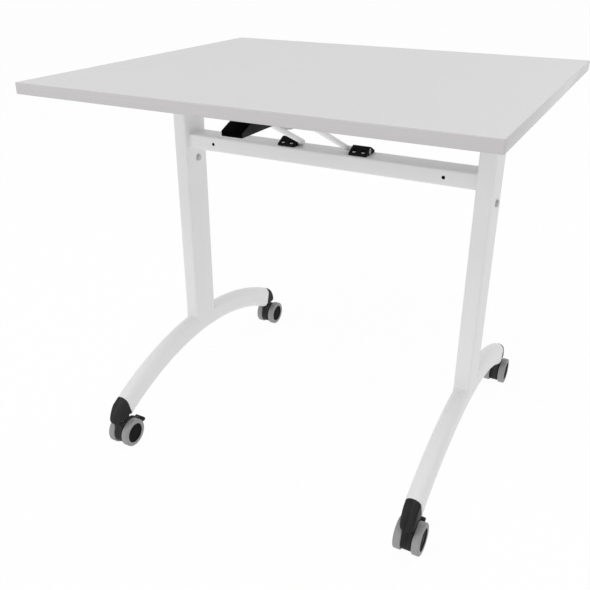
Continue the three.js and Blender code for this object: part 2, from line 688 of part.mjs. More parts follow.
// Castor pieces, about a stem on the Z axis with the axle behind it
function castorBody(braked) {
  const shape = new THREE.Shape();
  shape.moveTo(BODY_NECK, COLLAR_BASE + OVERLAP);
  shape.lineTo(-BODY_NECK, COLLAR_BASE + OVERLAP);
  shape.absarc(TRAIL, AXLE_Z, BODY_RADIUS, BODY_FROM, BODY_TO);
  shape.holes.push(circle(TRAIL, AXLE_Z, AXLE_DIAMETER + 2 * GAP, THREE.Path));
  const blade = prismX(shape, -BODY_WIDTH / 2, BODY_WIDTH / 2, 6);
  const block = join(blade, rodZ(0, 0, COLLAR_DIAMETER, COLLAR_BASE, BODY_TOP, 6));
  const socket = rodZ(0, 0, STEM_DIAMETER + 2 * GAP, STEM_BOTTOM - GAP, BODY_TOP + OVERLAP, 5);
  if (!braked) return cut(block, socket);
  const y = TRAIL + PEDAL_PIVOT_Y;
  const sink = PEDAL_BARREL + OVERLAP;
  const notch = new THREE.Shape();
  notch.absarc(y, PEDAL_PIVOT_Z, sink, Math.PI, 1.5 * Math.PI);
  notch.lineTo(y + BODY_RADIUS, PEDAL_PIVOT_Z - sink - NOTCH_FALL);
  notch.lineTo(y + BODY_RADIUS, COLLAR_BASE);
  notch.lineTo(y - sink, COLLAR_BASE);
  const recess = prismX(notch, -PEDAL_NOTCH / 2, PEDAL_NOTCH / 2, 2);
  const hole = rodX(y, PEDAL_PIVOT_Z, PEDAL_STUB_HOLE, -BODY_WIDTH, BODY_WIDTH, 4);
  return cut(block, socket, recess, hole);
}

function castorStem() {
  const shank = STEM_DIAMETER / 2;
  const flange = FLANGE_DIAMETER / 2;
  const seat = BODY_TOP + GAP;
  const profile = [
    [0, STEM_BOTTOM], [shank, STEM_BOTTOM], [shank, seat], [flange, seat],
    [flange, seat + FLANGE_HEIGHT], [shank, seat + FLANGE_HEIGHT], [shank, STEM_TOP], [0, STEM_TOP],
  ];
  return turned(profile, STEM_SIDES).rotateX(Math.PI / 2);
}

function castorAxle() {
  return rodX(TRAIL, AXLE_Z, AXLE_DIAMETER, -AXLE_LENGTH / 2, AXLE_LENGTH / 2, 4);
}

function wheelHub(side) {
  const rim = HUB_DIAMETER / 2 - GAP;
  const face = WHEEL_WIDTH / 2 - HUB_INSET;
  const bore = AXLE_HOLE / 2;
  const depth = AXLE_LENGTH / 2 - WHEEL_OFFSET + OVERLAP;
  const profile = [
    [0, depth], [bore, depth], [bore, -face], [rim, -face], [rim, face],
    [rim - HUB_RIM, face], [rim - HUB_RIM - HUB_DISH, face - HUB_DISH], [HUB_BOSS, face], [0, face],
  ];
  const hub = turnedX(profile, HUB_SIDES);
  if (side < 0) hub.rotateZ(Math.PI);
  return hub.translate(side * WHEEL_OFFSET, TRAIL, AXLE_Z);
}

function wheelTyre(side) {
  const outer = WHEEL_DIAMETER / 2;
  const inner = HUB_DIAMETER / 2;
  const half = WHEEL_WIDTH / 2;
  const edge = [[outer - SHOULDER, half], [outer, half - SHOULDER]];
  const mirrored = edge.map(([radius, along]) => [radius, -along]);
  const profile = [[inner, -half], ...mirrored, ...edge.reverse(), [inner, half], [inner, -half]];
  return turnedX(profile, WHEEL_SIDES).translate(side * WHEEL_OFFSET, TRAIL, AXLE_Z);
}

// Brake pedal: a rounded pad behind the wheels, on an arm that is hinged in the castor's body
function brakePedal() {
  const y = TRAIL + PEDAL_PIVOT_Y;
  const half = PEDAL_ARM_WIDTH / 2;
  const view = (corners) => polygon(corners.map(([back, z]) => [TRAIL + back, z]));
  const barrel = rodX(y, PEDAL_PIVOT_Z, 2 * PEDAL_BARREL, -half, half, 4);
  const stubs = rodX(y, PEDAL_PIVOT_Z, PEDAL_STUB, -BODY_WIDTH / 2, BODY_WIDTH / 2, 4);
  const outline = prismZ(roundedRect(PAD_WIDTH, PAD_HEIGHT, PAD_ROUND), 0, 2 * PAD_WIDTH);
  const bar = outline.rotateX(-Math.PI / 2).translate(0, TRAIL, PAD_Z);
  const pad = common(bar, prismX(view(PAD_VIEW), -PAD_WIDTH, PAD_WIDTH));
  return join(pad, prismX(view(PEDAL_ARM_VIEW), -half, half), barrel, stubs);
}

add('tabletop_board', topBoard(), melamine);
add('edge_band', edgeBand(), edging);
add('crossbeam', crossbeam(), coating);
add('stay', stay(), coating);
add('latch_bracket', latchBracket(), steel);
add('release_lever', releaseLever(), plastic);
add('lever_pin', leverPin(), steel);

for (const [side, name] of [[-1, 'left'], [1, 'right']]) {
  const x = side * LEG_X;
  add(`upright_${name}`, upright(x), coating);
  add(`foot_${name}`, foot(x), coating);
  add(`cross_bolt_${name}`, crossBolt(x), steel);
  add(`pivot_head_${name}`, pivotHead(x), plastic);
  add(`hinge_pin_${name}`, hingePin(x), steel);
  add(`hinge_bracket_${name}`, hingeBracket(x), steel);
  add(`pillow_block_${name}`, pillowBlock(side * BLOCK_X), plastic);
  for (const [end, place] of [[-1, 'front'], [1, 'rear']]) {
    const corner = `${place}_${name}`;
    const spot = (geometry) => geometry.translate(x, end * STEM_Y, 0);
    add(`toe_cap_${corner}`, toeCap(x, end), plastic);
    add(`castor_body_${corner}`, spot(castorBody(end < 0)), plastic);
    add(`castor_stem_${corner}`, spot(castorStem()), steel);
    add(`castor_axle_${corner}`, spot(castorAxle()), steel);
    for (const [wheel, which] of [[-1, 'a'], [1, 'b']]) {
      add(`hub_${corner}_${which}`, spot(wheelHub(wheel)), plastic);
      add(`tyre_${corner}_${which}`, spot(wheelTyre(wheel)), rubber);
    }
    if (end < 0) add(`brake_pedal_${corner}`, spot(brakePedal()), plastic);
  }
}

export default table;
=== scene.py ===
# %% [markdown]
# # A flip top training table
# The table is a light grey melamine top on two white T-shaped legs. Each leg is an upright tube on an
# arched foot with two castors, and a crossbeam ties the legs together. The top tips up for storage.
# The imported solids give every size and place, so this script dresses them: it remodels the pieces that
# need rounder forms, adds the small fasteners, and gives each surface its finish. Pieces are drawn in
# millimetres and scaled to metres when they are done.

# %% Load the frame
import json
import math

import bmesh
import bpy
from mathutils import Matrix, Vector


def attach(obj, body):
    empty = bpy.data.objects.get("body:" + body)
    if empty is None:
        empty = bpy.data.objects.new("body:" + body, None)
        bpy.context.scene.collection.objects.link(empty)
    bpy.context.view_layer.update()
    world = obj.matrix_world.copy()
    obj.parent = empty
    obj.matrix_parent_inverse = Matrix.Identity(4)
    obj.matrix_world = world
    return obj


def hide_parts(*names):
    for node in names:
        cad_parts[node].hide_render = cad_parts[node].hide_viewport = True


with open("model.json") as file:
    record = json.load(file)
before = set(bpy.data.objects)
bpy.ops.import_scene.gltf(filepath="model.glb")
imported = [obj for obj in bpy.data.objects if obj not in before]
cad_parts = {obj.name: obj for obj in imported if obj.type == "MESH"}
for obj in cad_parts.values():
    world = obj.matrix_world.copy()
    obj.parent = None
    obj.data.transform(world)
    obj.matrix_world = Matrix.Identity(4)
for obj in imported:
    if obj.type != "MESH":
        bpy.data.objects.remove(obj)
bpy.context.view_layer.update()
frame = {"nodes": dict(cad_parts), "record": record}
MM = 0.001
SIDES = {"left": -1, "right": 1}
ENDS = {"front": -1, "rear": 1}

# %% [markdown]
# ## Camera
# The photograph was taken from the front right, a little above the top. Its view was worked out from the
# top's corners and the wheels, so the camera only needs a place, two angles, a focal length and a small
# upward shift of the frame.

# %% Camera
CAMERA_PLACE = (0.5668, -1.1850, 0.9453)
CAMERA_PITCH = math.radians(25.11)
CAMERA_YAW = math.radians(28.06)
FOCAL_LENGTH = 43.4
FRAME_SHIFT = -0.030

camera_data = bpy.data.cameras.new("camera")
camera_data.lens = FOCAL_LENGTH
camera_data.shift_y = FRAME_SHIFT
camera = bpy.data.objects.new("camera", camera_data)
camera.location = CAMERA_PLACE
camera.rotation_euler = (math.pi / 2 - CAMERA_PITCH, 0, CAMERA_YAW)
bpy.context.scene.collection.objects.link(camera)
bpy.context.scene.camera = camera
bpy.context.scene.view_settings.view_transform = "Standard"
print("camera", [round(v, 3) for v in camera.location], "lens", camera_data.lens)

# %% [markdown]
# ## Colours and nodes
# Finishes are written as the hex colours that a paint chart would give. Blender's shaders work in linear
# light, so one function converts them. One more function adds a shader node, sets it up and links it.
# The patterns below read Object coordinates, which are metres here, so a pattern's scale is one over its
# real size.

# %% Helpers for finishes
def linear(hex_code):
    """Linear RGBA of an sRGB hex colour."""
    channels = [int(hex_code[i:i + 2], 16) / 255 for i in (0, 2, 4)]
    light = [c / 12.92 if c <= 0.04045 else ((c + 0.055) / 1.055) ** 2.4 for c in channels]
    return (*light, 1.0)


def add_node(owner, kind, inputs=None, **settings):
    """Add a node to a material or world, with its settings, input values and links."""
    node = owner.node_tree.nodes.new(kind)
    for name, value in settings.items():
        setattr(node, name, value)
    for name, value in (inputs or {}).items():
        if isinstance(value, bpy.types.NodeSocket):
            owner.node_tree.links.new(value, node.inputs[name])
        else:
            node.inputs[name].default_value = value
    return node


def start_material(name):
    """A material with an empty node tree."""
    material = bpy.data.materials.new(name)
    material.use_nodes = True
    material.node_tree.nodes.clear()
    return material


def per_mm(size):
    """Texture scale that makes a pattern repeat about every so many millimetres."""
    return 1 / (size * MM)


print("white is", linear("FFFFFF"))

# %% [markdown]
# ## Melamine top
# The top is particle board faced with melamine: paper soaked in resin and pressed under a steel plate
# that leaves a fine pearl texture. It looks almost plain, but the texture breaks up reflections and the
# printed paper is faintly clouded. A fine noise gives the pearl, drawn a little coarser than the real
# 0.4 mm so that it shows, and a slow one gives the clouding.

# %% Melamine
melamine = start_material("melamine_pearl")
coords = add_node(melamine, "ShaderNodeTexCoord").outputs["Object"]
pearl = add_node(melamine, "ShaderNodeTexNoise", {"Vector": coords, "Scale": per_mm(1.4), "Detail": 2.0})
cloud = add_node(melamine, "ShaderNodeTexNoise", {"Vector": coords, "Scale": per_mm(90), "Detail": 3.0})
paper = add_node(melamine, "ShaderNodeMix", {
    0: cloud.outputs["Fac"], 6: linear("D4D3D3"), 7: linear("D1D0D0")}, data_type="RGBA")
speck = add_node(melamine, "ShaderNodeMix", {
    0: pearl.outputs["Fac"], 6: paper.outputs[2], 7: linear("CECDCD")}, data_type="RGBA")
sheen = add_node(melamine, "ShaderNodeMapRange", {
    "Value": pearl.outputs["Fac"], "To Min": 0.46, "To Max": 0.6})
relief = add_node(melamine, "ShaderNodeBump", {
    "Strength": 0.35, "Distance": 0.05 * MM, "Height": pearl.outputs["Fac"]})
skin = add_node(melamine, "ShaderNodeBsdfPrincipled", {
    "Base Color": speck.outputs[2], "Roughness": sheen.outputs["Result"], "IOR": 1.5,
    "Normal": relief.outputs["Normal"]})
add_node(melamine, "ShaderNodeOutputMaterial", {"Surface": skin.outputs["BSDF"]})
print("finish", melamine.name)

# %% [markdown]
# ## Edge band
# The board's raw edge is covered by a 2 mm strip of extruded ABS in the same grey, glued on and scraped
# flush. Extrusion and scraping leave very faint lines along the strip. Lines that run level on all four
# sides come from a noise that is stretched flat: fine in height and long across.

# %% Edge band finish
edging = start_material("abs_edging")
coords = add_node(edging, "ShaderNodeTexCoord").outputs["Object"]
flat = add_node(edging, "ShaderNodeMapping", {"Vector": coords, "Scale": (0.02, 0.02, 1)})
lines = add_node(edging, "ShaderNodeTexNoise", {
    "Vector": flat.outputs["Vector"], "Scale": per_mm(1.5), "Detail": 2.0})
tint = add_node(edging, "ShaderNodeMix", {
    0: lines.outputs["Fac"], 6: linear("C2C0C1"), 7: linear("BCBABB")}, data_type="RGBA")
sheen = add_node(edging, "ShaderNodeMapRange", {
    "Value": lines.outputs["Fac"], "To Min": 0.14, "To Max": 0.28})
relief = add_node(edging, "ShaderNodeBump", {
    "Strength": 0.2, "Distance": 0.04 * MM, "Height": lines.outputs["Fac"]})
skin = add_node(edging, "ShaderNodeBsdfPrincipled", {
    "Base Color": tint.outputs[2], "Roughness": sheen.outputs["Result"], "IOR": 1.54,
    "Normal": relief.outputs["Normal"]})
add_node(edging, "ShaderNodeOutputMaterial", {"Surface": skin.outputs["BSDF"]})
print("finish", edging.name)

# %% [markdown]
# ## Powder coat
# The steel frame is sprayed with white polyester powder and baked. The powder flows but never quite
# levels, so the coat has an orange peel of ripples 2 to 3 mm across. That ripple is what tells powder
# coat from wet paint, so it goes into the normal, with a slight change of gloss along with it.

# %% Powder coat
coating = start_material("white_powder_coat")
coords = add_node(coating, "ShaderNodeTexCoord").outputs["Object"]
peel = add_node(coating, "ShaderNodeTexNoise", {"Vector": coords, "Scale": per_mm(2.6), "Detail": 1.5})
cloud = add_node(coating, "ShaderNodeTexNoise", {"Vector": coords, "Scale": per_mm(120), "Detail": 2.0})
tint = add_node(coating, "ShaderNodeMix", {
    0: cloud.outputs["Fac"], 6: linear("E7E7E7"), 7: linear("E3E3E3")}, data_type="RGBA")
gloss = add_node(coating, "ShaderNodeMapRange", {
    "Value": peel.outputs["Fac"], "To Min": 0.34, "To Max": 0.48})
ripple = add_node(coating, "ShaderNodeBump", {
    "Strength": 0.25, "Distance": 0.06 * MM, "Height": peel.outputs["Fac"]})
skin = add_node(coating, "ShaderNodeBsdfPrincipled", {
    "Base Color": tint.outputs[2], "Roughness": gloss.outputs["Result"], "IOR": 1.5,
    "Normal": ripple.outputs["Normal"]})
add_node(coating, "ShaderNodeOutputMaterial", {"Surface": skin.outputs["BSDF"]})
print("finish", coating.name)

# %% [markdown]
# ## Moulded nylon
# Toe caps, castors, pillow blocks and the release lever are injection moulded in black nylon. The mould
# is spark eroded, which leaves a fine matt grain. Soft streaks about 8 mm apart, some paler and some
# smoother, are drawn by a noise that is stretched along the castors' length. Their paler grey is a painted
# highlight that stands in for soft reflections on the toe caps. The toe caps and castor bodies come out
# satin and a very dark grey. The blocks and the wheel hubs are darker and more matt. Every face of the
# lever that doesn't face sideways is a deep black as painted shade, and its sides are the satin black. One
# function makes all three from their greys, their shine and their smoothest roughness.

# %% Black nylon
def moulded_nylon(name, dark, light, shine, smoothest):
    """Black moulding between two greys, with a fine grain and soft streaks of painted highlight."""
    nylon = start_material(name)
    coords = add_node(nylon, "ShaderNodeTexCoord").outputs["Object"]
    grain = add_node(nylon, "ShaderNodeTexNoise", {"Vector": coords, "Scale": per_mm(0.7), "Detail": 3.0})
    # The streaks run eight times as far as they are wide, and are shifted so that each toe cap shows one.
    # Their paler grey is a painted highlight.
    streak_stretch = add_node(nylon, "ShaderNodeMapping", {
        "Vector": coords, "Location": (14 * MM, 0, 0), "Scale": (1, 0.12, 0.12)})
    painted_highlight_and_gloss_streaks = add_node(nylon, "ShaderNodeTexNoise", {
        "Vector": streak_stretch.outputs["Vector"], "Scale": per_mm(8), "Detail": 2.0})
    # The lighter grey in the streaks is a painted highlight.
    tint = add_node(nylon, "ShaderNodeMix", {
        0: painted_highlight_and_gloss_streaks.outputs["Fac"], 6: linear(dark), 7: linear(light)}, data_type="RGBA")
    sheen = add_node(nylon, "ShaderNodeMapRange", {
        "Value": painted_highlight_and_gloss_streaks.outputs["Fac"], "To Min": smoothest, "To Max": smoothest + 0.14})
    relief = add_node(nylon, "ShaderNodeBump", {
        "Strength": 0.3, "Distance": 0.05 * MM, "Height": grain.outputs["Fac"]})
    skin = add_node(nylon, "ShaderNodeBsdfPrincipled", {
        "Base Color": tint.outputs[2], "Roughness": sheen.outputs["Result"], "Specular IOR Level": shine,
        "Normal": relief.outputs["Normal"]})
    add_node(nylon, "ShaderNodeOutputMaterial", {"Surface": skin.outputs["BSDF"]})
    print("finish", name)
    return nylon


# The satin black's paler streaks are painted highlights.
plastic = moulded_nylon("satin_black_nylon", "0C0C0C", "464646", 0.015, 0.3)
matt_plastic = moulded_nylon("matt_black_nylon", "181818", "1E1E1E", 0.02, 0.42)
# This deep black is painted shade, given to the lever's faces that don't face sideways.
painted_shade_nylon = moulded_nylon("painted_shade_black_nylon", "030303", "060606", 0.01, 0.42)

# %% [markdown]
# ## Grey tyre rubber
# The tyres are a soft grey thermoplastic rubber that doesn't mark floors. It is matt, and in use it
# picks up dust unevenly, which shows as soft patches a centimetre or so across and a fine speckle.

# %% Tyre rubber
rubber = start_material("grey_tyre_rubber")
coords = add_node(rubber, "ShaderNodeTexCoord").outputs["Object"]
dust = add_node(rubber, "ShaderNodeTexNoise", {"Vector": coords, "Scale": per_mm(11), "Detail": 4.0})
speckle = add_node(rubber, "ShaderNodeTexNoise", {"Vector": coords, "Scale": per_mm(0.9), "Detail": 2.0})
tint = add_node(rubber, "ShaderNodeMix", {
    0: dust.outputs["Fac"], 6: linear("8D8D8D"), 7: linear("9C9C9C")}, data_type="RGBA")
dry = add_node(rubber, "ShaderNodeMapRange", {
    "Value": speckle.outputs["Fac"], "To Min": 0.62, "To Max": 0.82})
relief = add_node(rubber, "ShaderNodeBump", {
    "Strength": 0.3, "Distance": 0.05 * MM, "Height": speckle.outputs["Fac"]})
skin = add_node(rubber, "ShaderNodeBsdfPrincipled", {
    "Base Color": tint.outputs[2], "Roughness": dry.outputs["Result"], "IOR": 1.48,
    "Normal": relief.outputs["Normal"]})
add_node(rubber, "ShaderNodeOutputMaterial", {"Surface": skin.outputs["BSDF"]})
print("finish", rubber.name)

# %% [markdown]
# ## Zinc plated steel
# Pins, brackets and screws are zinc plated. The plating is bright but slightly cloudy, with fine rolling
# lines from the sheet below it. It is a metal, so its colour is its reflection. The bolts through the
# uprights are duller, because zinc that is handled a lot goes grey.

# %% Zinc plate
def zinc_plate(name, dull, bright):
    """Plated steel between two greys, with fine rolling lines and soft clouds."""
    zinc = start_material(name)
    coords = add_node(zinc, "ShaderNodeTexCoord").outputs["Object"]
    rolled = add_node(zinc, "ShaderNodeMapping", {"Vector": coords, "Scale": (1, 0.05, 1)})
    lines = add_node(zinc, "ShaderNodeTexNoise", {
        "Vector": rolled.outputs["Vector"], "Scale": per_mm(0.8), "Detail": 3.0})
    cloud = add_node(zinc, "ShaderNodeTexNoise", {"Vector": coords, "Scale": per_mm(9), "Detail": 3.0})
    tint = add_node(zinc, "ShaderNodeMix", {
        0: cloud.outputs["Fac"], 6: linear(dull), 7: linear(bright)}, data_type="RGBA")
    polish = add_node(zinc, "ShaderNodeMapRange", {
        "Value": lines.outputs["Fac"], "To Min": 0.24, "To Max": 0.42})
    relief = add_node(zinc, "ShaderNodeBump", {
        "Strength": 0.15, "Distance": 0.02 * MM, "Height": lines.outputs["Fac"]})
    skin = add_node(zinc, "ShaderNodeBsdfPrincipled", {
        "Base Color": tint.outputs[2], "Roughness": polish.outputs["Result"], "Metallic": 1.0,
        "Normal": relief.outputs["Normal"]})
    add_node(zinc, "ShaderNodeOutputMaterial", {"Surface": skin.outputs["BSDF"]})
    print("finish", name)
    return zinc


steel = zinc_plate("zinc_plated_steel", "B4B6B8", "C8C9CA")
dull_steel = zinc_plate("dull_zinc_plated_steel", "A8AAAB", "B5B6B7")

# %% [markdown]
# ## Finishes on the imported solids
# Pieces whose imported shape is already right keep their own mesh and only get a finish. The record says
# which finish slot each one belongs to.

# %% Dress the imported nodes
FINISHES = {"melamine": melamine, "edging": edging, "coating": coating,
            "steel": steel, "plastic": plastic, "tyre": rubber}
slot_of = {part["node"]: part["material_slot"] for part in frame["record"]["subparts"]}
for name, node in frame["nodes"].items():
    node.data.materials.clear()
    node.data.materials.append(FINISHES[slot_of[name]])
print("dressed", len(slot_of), "nodes in", len(FINISHES), "finishes")

# %% [markdown]
# ## From a bmesh to a piece
# Each new piece is drawn in a bmesh in millimetres. This function scales it, smooths its faces but keeps
# its creases sharp, gives it its slot's finish or others, hangs it on its body and hides the solids it
# stands for.

# %% Helpers for pieces
CREASE = math.radians(32)
# Millimetres: edges shorter than the first vanish, and points nearer than the second are one.
SLIVER = 0.005
SAME_POINT = 0.004


def publish(name, bm, slot, body, nodes=(), finishes=()):
    """Make a piece from a bmesh in millimetres, in its slot's finish or in others."""
    bmesh.ops.dissolve_degenerate(bm, dist=SLIVER, edges=bm.edges)
    bmesh.ops.scale(bm, vec=(MM, MM, MM), verts=bm.verts)
    for face in bm.faces:
        face.smooth = True
    for edge in bm.edges:
        edge.smooth = edge.is_manifold and edge.calc_face_angle() < CREASE
    mesh = bpy.data.meshes.new(name)
    bm.to_mesh(mesh)
    bm.free()
    for finish in finishes or [FINISHES[slot]]:
        mesh.materials.append(finish)
    piece = bpy.data.objects.new(name, mesh)
    bpy.context.scene.collection.objects.link(piece)
    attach(piece, body)
    if nodes:
        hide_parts(*nodes)
    size = [round(v / MM, 1) for v in piece.dimensions]
    print(name, "on", body, size, "mm,", len(mesh.polygons), "faces")


def copy_of(node):
    """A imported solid's mesh in millimetres, with its loose triangles merged and its flats made whole."""
    bm = bmesh.new()
    bm.from_mesh(frame["nodes"][node].data)
    bmesh.ops.scale(bm, vec=(1 / MM, 1 / MM, 1 / MM), verts=bm.verts)
    bmesh.ops.remove_doubles(bm, verts=bm.verts, dist=SAME_POINT)
    bmesh.ops.dissolve_limit(bm, angle_limit=math.radians(0.5), verts=bm.verts, edges=bm.edges)
    return bm


def take_in(bm, other):
    """Add another bmesh's shape to this one."""
    scratch = bpy.data.meshes.new("scratch")
    other.to_mesh(scratch)
    other.free()
    bm.from_mesh(scratch)
    bpy.data.meshes.remove(scratch)


def round_off(bm, width, segments=2, corner=math.radians(40)):
    """Bevel every edge sharper than a corner's angle, up to a width that the shortest edge allows."""
    edges = [e for e in bm.edges if e.is_manifold and e.calc_face_angle() > corner]
    bmesh.ops.bevel(bm, geom=edges, offset=width, segments=segments, profile=0.5, affect="EDGES",
                    clamp_overlap=True, material=-1)


print("crease angle", round(math.degrees(CREASE)), "degrees")

# %% [markdown]
# ## Table top
# The board and its band could be one box, but the real top shows a hairline between them and a rounded
# arris on the band. So the band is a rectangle with rounded corners, inset to its 2 mm, drawn down to
# the board's thickness and bevelled along its outer edges. The board fills what is left.

# %% Board and band
TOP_LENGTH, TOP_DEPTH, TOP_HEIGHT, TOP_THICKNESS = 800, 700, 740, 19
BAND = 2.0
GLUE_LINE = 0.06
ARRIS = 1.2
BAND_CORNER, BOARD_CORNER = 3, 1


def rounded_plate(bm, width, depth, radius, segments):
    """A flat face with rounded corners, in the XY plane."""
    made = bmesh.ops.create_grid(bm, x_segments=1, y_segments=1, size=0.5)
    bmesh.ops.scale(bm, vec=(width, depth, 1), verts=made["verts"])
    bmesh.ops.bevel(bm, geom=made["verts"], offset=radius, offset_type="OFFSET", segments=segments,
                    profile=0.5, affect="VERTICES", clamp_overlap=True, material=-1)
    return bm.faces[:]


def raise_faces(bm, faces, height):
    """Extrude faces into a solid along Z."""
    made = bmesh.ops.extrude_face_region(bm, geom=faces, use_keep_orig=True)
    moved = [g for g in made["geom"] if isinstance(g, bmesh.types.BMVert)]
    bmesh.ops.translate(bm, vec=(0, 0, height), verts=moved)
    bmesh.ops.recalc_face_normals(bm, faces=bm.faces)


band = bmesh.new()
outline = rounded_plate(band, TOP_LENGTH, TOP_DEPTH, BAND_CORNER, 4)
bmesh.ops.inset_region(band, faces=outline, thickness=BAND, use_boundary=True, use_even_offset=True)
inner = max(band.faces, key=lambda face: face.calc_area())
bmesh.ops.delete(band, geom=[inner], context="FACES")
raise_faces(band, band.faces[:], TOP_THICKNESS)
bmesh.ops.translate(band, vec=(0, 0, TOP_HEIGHT - TOP_THICKNESS), verts=band.verts)


def on_outside(edge):
    """Whether an edge runs level along the outside of the band."""
    margin = BAND * 0.75
    middle = (edge.verts[0].co + edge.verts[1].co) / 2
    level = abs(edge.verts[0].co.z - edge.verts[1].co.z) < 0.01
    at_end = abs(middle.x) > TOP_LENGTH / 2 - margin
    at_side = abs(middle.y) > TOP_DEPTH / 2 - margin
    return level and (at_end or at_side)


arrises = [e for e in band.edges if on_outside(e) and e.calc_face_angle() > CREASE]
bmesh.ops.bevel(band, geom=arrises, offset=ARRIS, segments=4, profile=0.5, affect="EDGES",
                clamp_overlap=True, material=-1)
publish("edge_band_strip", band, "edging", "top", ["edge_band"])

board = bmesh.new()
inset = 2 * (BAND + GLUE_LINE)
rounded_plate(board, TOP_LENGTH - inset, TOP_DEPTH - inset, BOARD_CORNER, 2)
raise_faces(board, board.faces[:], TOP_THICKNESS)
bmesh.ops.translate(board, vec=(0, 0, TOP_HEIGHT - TOP_THICKNESS), verts=board.verts)
publish("melamine_board", board, "melamine", "top", ["tabletop_board"])

# %% [markdown]
# ## Uprights and crossbeam
# These are rectangular tubes with rounded corners, and their solids already have the right corners,
# holes and the saddle that fits the foot. A merged copy with smoothed corners is all that they need.

# %% Uprights and crossbeam
for side in SIDES:
    publish(f"upright_tube_{side}", copy_of(f"upright_{side}"), "coating", "frame", [f"upright_{side}"])
publish("crossbeam_tube", copy_of("crossbeam"), "coating", "frame", ["crossbeam"])

# %% [markdown]
# ## Arched feet
# A foot is a flat oval tube bent to an even arc. Sweeping the tube's section about the bend's centre is
# just what the bending machine does, so a spin makes it. The wall comes from an inset of the section,
# and each end is cut to the slant that the toe cap meets.

# %% Feet
LEG_X = 311
FOOT_WIDTH, FOOT_HEIGHT, FOOT_ROUND, TUBE_WALL = 30, 50, 14.5, 2
FOOT_RADIUS, FOOT_CREST = 610, 156
FOOT_REACH = 300
FOOT_SPAN = math.asin(FOOT_REACH / FOOT_RADIUS)
FOOT_STEPS = 72
END_Y, END_Z, END_LEAN = 282, 91.6, math.radians(15)


def slanted_end(end):
    """A point on a foot's slanted end, and the way that it faces."""
    return Vector((0, end * END_Y, END_Z)), Vector((0, end * math.cos(END_LEAN), -math.sin(END_LEAN)))


def arched_foot(x):
    """A tube bent to an arc about a centre below the floor, with both ends cut to a slant."""
    bm = bmesh.new()
    section = rounded_plate(bm, FOOT_WIDTH, FOOT_HEIGHT, FOOT_ROUND, 7)
    bmesh.ops.inset_region(bm, faces=section, thickness=TUBE_WALL, use_boundary=True,
                           use_even_offset=True)
    inner = max(bm.faces, key=lambda face: face.calc_area())
    bmesh.ops.delete(bm, geom=[inner], context="FACES")
    upright_section = Matrix.Rotation(math.pi / 2, 3, "X")
    bmesh.ops.rotate(bm, cent=(0, 0, 0), matrix=upright_section, verts=bm.verts)
    bmesh.ops.translate(bm, vec=(0, 0, FOOT_RADIUS), verts=bm.verts)
    bmesh.ops.rotate(bm, cent=(0, 0, 0), matrix=Matrix.Rotation(FOOT_SPAN, 3, "X"), verts=bm.verts)
    bmesh.ops.spin(bm, geom=bm.faces[:] + bm.edges[:] + bm.verts[:], cent=(0, 0, 0), axis=(-1, 0, 0),
                   angle=2 * FOOT_SPAN, steps=FOOT_STEPS, use_merge=False, use_duplicate=False)
    bmesh.ops.translate(bm, vec=(0, 0, FOOT_CREST - FOOT_RADIUS), verts=bm.verts)
    for end in ENDS.values():
        point, way = slanted_end(end)
        geometry = bm.verts[:] + bm.edges[:] + bm.faces[:]
        made = bmesh.ops.bisect_plane(bm, geom=geometry, dist=0.001, plane_co=point, plane_no=way,
                                      clear_outer=True)
        rims = [g for g in made["geom_cut"] if isinstance(g, bmesh.types.BMEdge)]
        bmesh.ops.bridge_loops(bm, edges=rims)
    bmesh.ops.recalc_face_normals(bm, faces=bm.faces)
    bmesh.ops.translate(bm, vec=(x, 0, 0), verts=bm.verts)
    return bm


for side, sign in SIDES.items():
    publish(f"arched_foot_{side}", arched_foot(sign * LEG_X), "coating", "frame", [f"foot_{side}"])

# %% [markdown]
# ## Welds
# The beam is welded to the uprights and the uprights to the feet, all round and ground soft before
# coating, so on the real frame there is no line at these joints but a small hollow blend. A bead has a
# three-cornered section with one edge on each tube and a hollow face between them. The section turns and
# shrinks along the joint, so it is drawn once at each station and every two neighbours are bridged.

# %% Weld beads
# The hollow face lies at this share of the two legs, and the root sinks this far into the tubes.
HOLLOW, ROOT_DEPTH = 0.28, 0.25
BEAM_DEPTH, BEAM_HEIGHT, BEAM_ROUND, BEAM_Z = 50, 30, 4, 582
UPRIGHT_HALF, UPRIGHT_FRONT = 15, 35
BEAM_LEG, FOOT_LEG = 3, 5
FOOT_STATIONS = 16


def weld_bead(stations, closed):
    """A bead along points that each have two ways to go, one on each tube."""
    bm = bmesh.new()
    rings = []
    for point, first, second in stations:
        root = -ROOT_DEPTH * (first + second).normalized()
        section = [root, root + first, first, HOLLOW * (first + second), second, root + second]
        verts = [bm.verts.new(point + offset) for offset in section]
        rings.append([bm.edges.new(pair) for pair in zip(verts, verts[1:] + verts[:1])])
    pairs = list(zip(rings, rings[1:] + rings[:1]))
    for ring, following in pairs if closed else pairs[:-1]:
        bmesh.ops.bridge_loops(bm, edges=ring + following)
    if not closed:
        for ring in (rings[0], rings[-1]):
            bmesh.ops.contextual_create(bm, geom=ring)
    bmesh.ops.recalc_face_normals(bm, faces=bm.faces)
    return bm


def beam_bead(sign):
    """All round the beam's end, against an upright's inner face."""
    outline = bmesh.new()
    face = rounded_plate(outline, BEAM_DEPTH, BEAM_HEIGHT, BEAM_ROUND, 5)[0]
    flat_y = BEAM_DEPTH / 2 - BEAM_ROUND
    flat_z = BEAM_HEIGHT / 2 - BEAM_ROUND
    inward = Vector((-sign, 0, 0))
    stations = []
    for vert in face.verts:
        y, z = vert.co.x, vert.co.y
        core = Vector((0, max(-flat_y, min(flat_y, y)), max(-flat_z, min(flat_z, z))))
        away = (Vector((0, y, z)) - core).normalized()
        point = Vector((sign * (LEG_X - UPRIGHT_HALF), y, BEAM_Z + z))
        stations.append((point, away * BEAM_LEG, inward * BEAM_LEG))
    outline.free()
    return weld_bead(stations, True)


